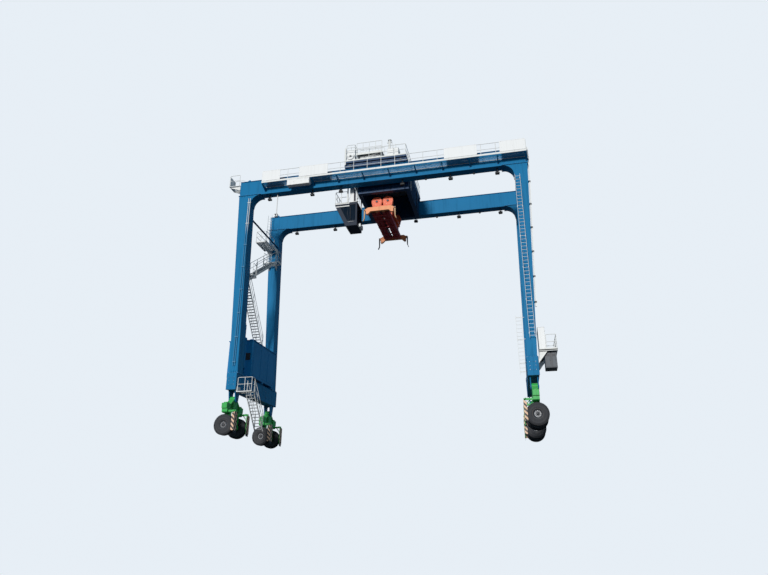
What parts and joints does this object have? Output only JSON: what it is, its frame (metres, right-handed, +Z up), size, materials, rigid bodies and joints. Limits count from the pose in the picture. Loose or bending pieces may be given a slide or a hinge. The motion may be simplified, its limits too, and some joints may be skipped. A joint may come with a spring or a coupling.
{
  "type": "rubber tyred gantry crane",
  "caption": "Portal crane on steered rubber tyres, with a travelling trolley, hanging cab and telescoping container spreader.",
  "frame": {"origin": "on the ground, in the middle of the four corners", "axes": "+X across the container rows to the side without the cab, +Y along the crane's travel, +Z up"},
  "size_m": [27.4803, 9.86, 25.9092],
  "materials": {
    "portal_blue": "semi-gloss paint",
    "house_blue": "semi-gloss paint",
    "access_white": "semi-gloss paint",
    "machine_grey": "satin paint",
    "gear_green": "semi-gloss paint",
    "head_orange": "semi-gloss paint",
    "spreader_red": "worn satin paint",
    "tyre_black": "ribbed rubber",
    "rope_steel": "greased wire",
    "cab_glass": "tinted"
  },
  "bodies": {
    "gantry": {"girder_near": "portal_blue", "girder_far": "portal_blue", "leg_near_left": "portal_blue", "leg_near_right": "portal_blue", "leg_far_left": "portal_blue", "leg_far_right": "portal_blue", "sill_left": "portal_blue", "sill_right": "portal_blue", "tie_beams": "house_blue", "walkways": "access_white", "handrail_near": "access_white", "handrail_far": "access_white", "sign_boards": "access_white", "girder_fittings": "access_white", "power_house": "house_blue", "silencer": "house_blue", "side_platform": "access_white", "stair_flights": "access_white", "stair_landings": "access_white", "leg_ladder": "access_white", "floodlights": "machine_grey", "cable_conduit": "access_white"},
    "trolley": {"trolley_frame": "portal_blue", "rope_well": "machine_grey", "trolley_deck": "access_white", "trolley_handrail": "access_white", "hoist_machinery": "machine_grey", "trolley_cabinets": "access_white", "cab": "machine_grey", "cab_glass": "cab_glass", "cab_balcony": "access_white", "hoist_ropes": "rope_steel"},
    "hoist": {"head_block": "head_orange", "spreader_main": "spreader_red"},
    "spreader_near": {"spreader_near": "spreader_red"},
    "spreader_far": {"spreader_far": "spreader_red"},
    "flipper_near_left": {"flipper_near_left": "spreader_red"},
    "flipper_near_right": {"flipper_near_right": "spreader_red"},
    "flipper_far_left": {"flipper_far_left": "spreader_red"},
    "flipper_far_right": {"flipper_far_right": "spreader_red"},
    "bogie_near_left": {"bogie_near_left": "gear_green"},
    "bogie_near_right": {"bogie_near_right": "gear_green"},
    "bogie_far_left": {"bogie_far_left": "gear_green"},
    "bogie_far_right": {"bogie_far_right": "gear_green"},
    "pod_near_left_outer": {"pod_near_left_outer": "gear_green"},
    "wheel_near_left_outer": {"wheel_near_left_outer": "tyre_black"},
    "pod_near_left_inner": {"pod_near_left_inner": "gear_green"},
    "wheel_near_left_inner": {"wheel_near_left_inner": "tyre_black"},
    "pod_near_right_outer": {"pod_near_right_outer": "gear_green"},
    "wheel_near_right_outer": {"wheel_near_right_outer": "tyre_black"},
    "pod_near_right_inner": {"pod_near_right_inner": "gear_green"},
    "wheel_near_right_inner": {"wheel_near_right_inner": "tyre_black"},
    "pod_far_left_outer": {"pod_far_left_outer": "gear_green"},
    "wheel_far_left_outer": {"wheel_far_left_outer": "tyre_black"},
    "pod_far_left_inner": {"pod_far_left_inner": "gear_green"},
    "wheel_far_left_inner": {"wheel_far_left_inner": "tyre_black"},
    "pod_far_right_outer": {"pod_far_right_outer": "gear_green"},
    "wheel_far_right_outer": {"wheel_far_right_outer": "tyre_black"},
    "pod_far_right_inner": {"pod_far_right_inner": "gear_green"},
    "wheel_far_right_inner": {"wheel_far_right_inner": "tyre_black"}
  },
  "joints": [
    {"name": "trolley_travel", "type": "slide", "parent": "gantry", "child": "trolley", "axis": [1, 0, 0], "range_m": [-7.2, 8.4]},
    {"name": "hoist_lift", "type": "slide", "parent": "trolley", "child": "hoist", "axis": [0, 0, 1], "range_m": [-17.5, 0], "deforming": ["hoist_ropes"]},
    {"name": "telescope_near", "type": "slide", "parent": "hoist", "child": "spreader_near", "axis": [0, -1, 0], "range_m": [0, 3.05]},
    {"name": "telescope_far", "type": "slide", "parent": "hoist", "child": "spreader_far", "axis": [0, 1, 0], "range_m": [0, 3.05]},
    {"name": "flipper_near_left_swing", "type": "hinge", "parent": "spreader_near", "child": "flipper_near_left", "pos_m": [-1.2295, -2.9265, 19.15], "axis": [0, 1, 0], "range_deg": [0, 180]},
    {"name": "flipper_near_right_swing", "type": "hinge", "parent": "spreader_near", "child": "flipper_near_right", "pos_m": [1.4295, -2.9265, 19.15], "axis": [0, -1, 0], "range_deg": [0, 180]},
    {"name": "flipper_far_left_swing", "type": "hinge", "parent": "spreader_far", "child": "flipper_far_left", "pos_m": [-1.2295, 2.9265, 19.15], "axis": [0, 1, 0], "range_deg": [0, 180]},
    {"name": "flipper_far_right_swing", "type": "hinge", "parent": "spreader_far", "child": "flipper_far_right", "pos_m": [1.4295, 2.9265, 19.15], "axis": [0, -1, 0], "range_deg": [0, 180]},
    {"name": "bogie_near_left_rock", "type": "hinge", "parent": "gantry", "child": "bogie_near_left", "pos_m": [-11.735, -3.5, 2.95], "axis": [1, 0, 0], "range_deg": [-30, 30]},
    {"name": "bogie_near_right_rock", "type": "hinge", "parent": "gantry", "child": "bogie_near_right", "pos_m": [11.735, -3.5, 2.95], "axis": [1, 0, 0], "range_deg": [-30, 30]},
    {"name": "bogie_far_left_rock", "type": "hinge", "parent": "gantry", "child": "bogie_far_left", "pos_m": [-11.735, 3.5, 2.95], "axis": [1, 0, 0], "range_deg": [-30, 30]},
    {"name": "bogie_far_right_rock", "type": "hinge", "parent": "gantry", "child": "bogie_far_right", "pos_m": [11.735, 3.5, 2.95], "axis": [1, 0, 0], "range_deg": [-30, 30]},
    {"name": "pod_near_left_outer_steer", "type": "hinge", "parent": "bogie_near_left", "child": "pod_near_left_outer", "pos_m": [-11.735, -4.6, 2], "axis": [0, 0, -1], "range_deg": [0, 90]},
    {"name": "wheel_near_left_outer_spin", "type": "hinge", "parent": "pod_near_left_outer", "child": "wheel_near_left_outer", "pos_m": [-11.735, -4.6, 0.8], "axis": [0, 1, 0], "continuous": true},
    {"name": "pod_near_left_inner_steer", "type": "hinge", "parent": "bogie_near_left", "child": "pod_near_left_inner", "pos_m": [-11.735, -2.4, 2], "axis": [0, 0, 1], "range_deg": [0, 90]},
    {"name": "wheel_near_left_inner_spin", "type": "hinge", "parent": "pod_near_left_inner", "child": "wheel_near_left_inner", "pos_m": [-11.735, -2.4, 0.8], "axis": [0, 1, 0], "continuous": true},
    {"name": "pod_near_right_outer_steer", "type": "hinge", "parent": "bogie_near_right", "child": "pod_near_right_outer", "pos_m": [11.735, -4.6, 2], "axis": [0, 0, 1], "range_deg": [0, 90]},
    {"name": "wheel_near_right_outer_spin", "type": "hinge", "parent": "pod_near_right_outer", "child": "wheel_near_right_outer", "pos_m": [11.735, -4.6, 0.8], "axis": [0, 1, 0], "continuous": true},
    {"name": "pod_near_right_inner_steer", "type": "hinge", "parent": "bogie_near_right", "child": "pod_near_right_inner", "pos_m": [11.735, -2.4, 2], "axis": [0, 0, -1], "range_deg": [0, 90]},
    {"name": "wheel_near_right_inner_spin", "type": "hinge", "parent": "pod_near_right_inner", "child": "wheel_near_right_inner", "pos_m": [11.735, -2.4, 0.8], "axis": [0, 1, 0], "continuous": true},
    {"name": "pod_far_left_outer_steer", "type": "hinge", "parent": "bogie_far_left", "child": "pod_far_left_outer", "pos_m": [-11.735, 4.6, 2], "axis": [0, 0, 1], "range_deg": [0, 90]},
    {"name": "wheel_far_left_outer_spin", "type": "hinge", "parent": "pod_far_left_outer", "child": "wheel_far_left_outer", "pos_m": [-11.735, 4.6, 0.8], "axis": [0, 1, 0], "continuous": true},
    {"name": "pod_far_left_inner_steer", "type": "hinge", "parent": "bogie_far_left", "child": "pod_far_left_inner", "pos_m": [-11.735, 2.4, 2], "axis": [0, 0, -1], "range_deg": [0, 90]},
    {"name": "wheel_far_left_inner_spin", "type": "hinge", "parent": "pod_far_left_inner", "child": "wheel_far_left_inner", "pos_m": [-11.735, 2.4, 0.8], "axis": [0, 1, 0], "continuous": true},
    {"name": "pod_far_right_outer_steer", "type": "hinge", "parent": "bogie_far_right", "child": "pod_far_right_outer", "pos_m": [11.735, 4.6, 2], "axis": [0, 0, -1], "range_deg": [0, 90]},
    {"name": "wheel_far_right_outer_spin", "type": "hinge", "parent": "pod_far_right_outer", "child": "wheel_far_right_outer", "pos_m": [11.735, 4.6, 0.8], "axis": [0, 1, 0], "continuous": true},
    {"name": "pod_far_right_inner_steer", "type": "hinge", "parent": "bogie_far_right", "child": "pod_far_right_inner", "pos_m": [11.735, 2.4, 2], "axis": [0, 0, 1], "range_deg": [0, 90]},
    {"name": "wheel_far_right_inner_spin", "type": "hinge", "parent": "pod_far_right_inner", "child": "wheel_far_right_inner", "pos_m": [11.735, 2.4, 0.8], "axis": [0, 1, 0], "continuous": true}
  ],
  "couplings": [
    {"joint": "telescope_far", "follows": "telescope_near", "ratio": 1},
    {"joint": "pod_near_left_inner_steer", "follows": "pod_near_left_outer_steer", "ratio": 1},
    {"joint": "pod_near_right_inner_steer", "follows": "pod_near_right_outer_steer", "ratio": 1},
    {"joint": "pod_far_left_inner_steer", "follows": "pod_far_left_outer_steer", "ratio": 1},
    {"joint": "pod_far_right_inner_steer", "follows": "pod_far_right_outer_steer", "ratio": 1}
  ]
}
